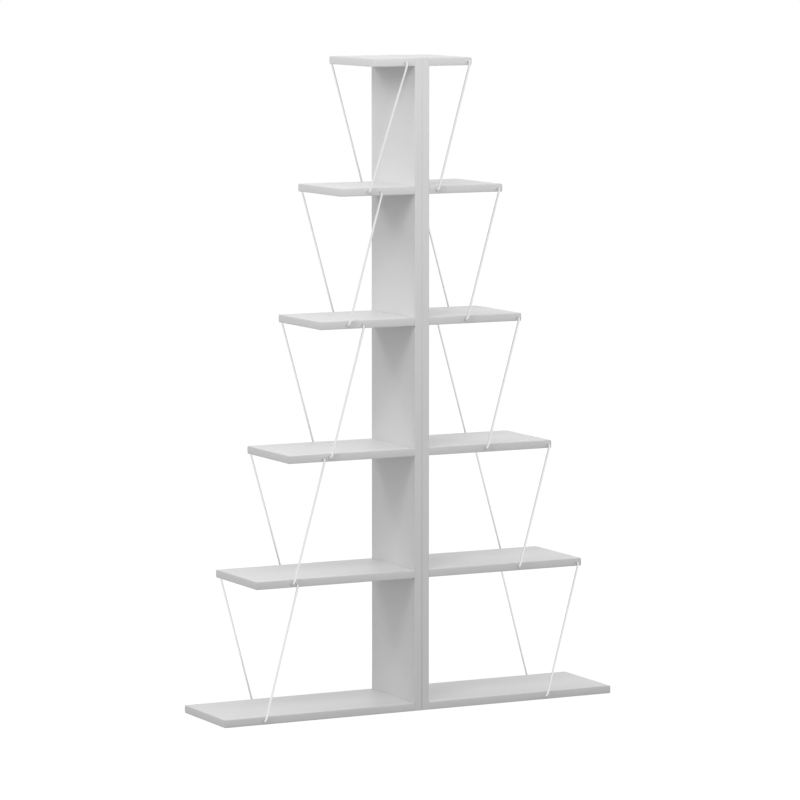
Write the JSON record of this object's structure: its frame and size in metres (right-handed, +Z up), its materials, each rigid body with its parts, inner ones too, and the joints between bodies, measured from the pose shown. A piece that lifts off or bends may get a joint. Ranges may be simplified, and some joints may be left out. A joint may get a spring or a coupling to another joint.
{
  "type": "bookcase",
  "caption": "Tall tree-shaped open bookcase: half shelves that widen towards the floor on both sides of a slim central column, tied edge to edge by slanting bent wire rods.",
  "frame": {"origin": "on the floor, under the middle of the column", "axes": "+Z up, +X along the shelves to the right as seen from the front, -Y out of the pictured front"},
  "size_m": [1, 0.249, 1.5],
  "materials": {
    "melamine_board": "white melamine on chipboard, fine satin texture, matching edge band",
    "painted_rod": "white powder coat on bent steel rod, satin",
    "zinc_screw": "bright zinc plate"
  },
  "bodies": {
    "root": {"column_board_left": "melamine_board", "column_board_right": "melamine_board", "column_screw_lower": "zinc_screw", "column_screw_upper": "zinc_screw", "shelf_1_left": "melamine_board", "shelf_1_right": "melamine_board", "shelf_2_left": "melamine_board", "shelf_2_right": "melamine_board", "shelf_3_left": "melamine_board", "shelf_3_right": "melamine_board", "shelf_4_left": "melamine_board", "shelf_4_right": "melamine_board", "shelf_5_left": "melamine_board", "shelf_5_right": "melamine_board", "shelf_6_left": "melamine_board", "shelf_6_right": "melamine_board", "shelf_screw_1_left_back": "zinc_screw", "shelf_screw_1_left_front": "zinc_screw", "shelf_screw_1_right_back": "zinc_screw", "shelf_screw_1_right_front": "zinc_screw", "shelf_screw_2_left_back": "zinc_screw", "shelf_screw_2_left_front": "zinc_screw", "shelf_screw_2_right_back": "zinc_screw", "shelf_screw_2_right_front": "zinc_screw", "shelf_screw_3_left_back": "zinc_screw", "shelf_screw_3_left_front": "zinc_screw", "shelf_screw_3_right_back": "zinc_screw", "shelf_screw_3_right_front": "zinc_screw", "shelf_screw_4_left_back": "zinc_screw", "shelf_screw_4_left_front": "zinc_screw", "shelf_screw_4_right_back": "zinc_screw", "shelf_screw_4_right_front": "zinc_screw", "shelf_screw_5_left_back": "zinc_screw", "shelf_screw_5_left_front": "zinc_screw", "shelf_screw_5_right_back": "zinc_screw", "shelf_screw_5_right_front": "zinc_screw", "shelf_screw_6_left_back": "zinc_screw", "shelf_screw_6_left_front": "zinc_screw", "shelf_screw_6_right_back": "zinc_screw", "shelf_screw_6_right_front": "zinc_screw", "tie_rod_1_left_back": "painted_rod", "tie_rod_1_left_front": "painted_rod", "tie_rod_1_right_back": "painted_rod", "tie_rod_1_right_front": "painted_rod", "tie_rod_2_left_back": "painted_rod", "tie_rod_2_left_front": "painted_rod", "tie_rod_2_right_back": "painted_rod", "tie_rod_2_right_front": "painted_rod", "tie_rod_3_left_back": "painted_rod", "tie_rod_3_left_front": "painted_rod", "tie_rod_3_right_back": "painted_rod", "tie_rod_3_right_front": "painted_rod", "tie_rod_4_left_back": "painted_rod", "tie_rod_4_left_front": "painted_rod", "tie_rod_4_right_back": "painted_rod", "tie_rod_4_right_front": "painted_rod", "tie_rod_5_left_back": "painted_rod", "tie_rod_5_left_front": "painted_rod", "tie_rod_5_right_back": "painted_rod", "tie_rod_5_right_front": "painted_rod"}
  },
  "joints": []
}
